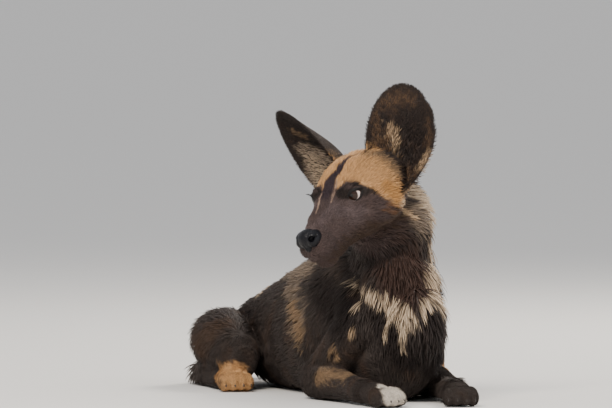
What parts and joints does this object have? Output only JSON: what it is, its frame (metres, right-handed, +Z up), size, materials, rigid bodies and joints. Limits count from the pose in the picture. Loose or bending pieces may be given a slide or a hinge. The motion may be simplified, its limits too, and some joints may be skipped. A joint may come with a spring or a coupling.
{
  "type": "african wild dog",
  "caption": "Young African wild dog lying on its chest, forelegs out in front, hind legs tucked in, head raised and turned to its right, large round ears up.",
  "frame": {"origin": "the point on the floor under the middle of the bounding box", "axes": "+Z up, -Y the way the body faces, +X the animal's left side"},
  "size_m": [0.3446, 0.6862, 0.3738],
  "materials": {
    "coat": "matte",
    "bare_skin": "satin",
    "eye": "gloss"
  },
  "bodies": {
    "root": {"head": "coat", "nose": "bare_skin", "eye_left": "eye", "eye_right": "eye", "ear_left": "coat", "ear_right": "coat", "neck": "coat", "chest": "coat", "loin": "coat", "rump": "coat", "tail": "coat", "tail_brush": "coat", "upper_arm_left": "coat", "forearm_left": "coat", "forepaw_left": "coat", "thigh_left": "coat", "shank_left": "coat", "hind_foot_left": "coat", "hindpaw_left": "coat", "upper_arm_right": "coat", "forearm_right": "coat", "forepaw_right": "coat", "thigh_right": "coat", "shank_right": "coat", "hind_foot_right": "coat", "hindpaw_right": "coat"}
  },
  "joints": []
}
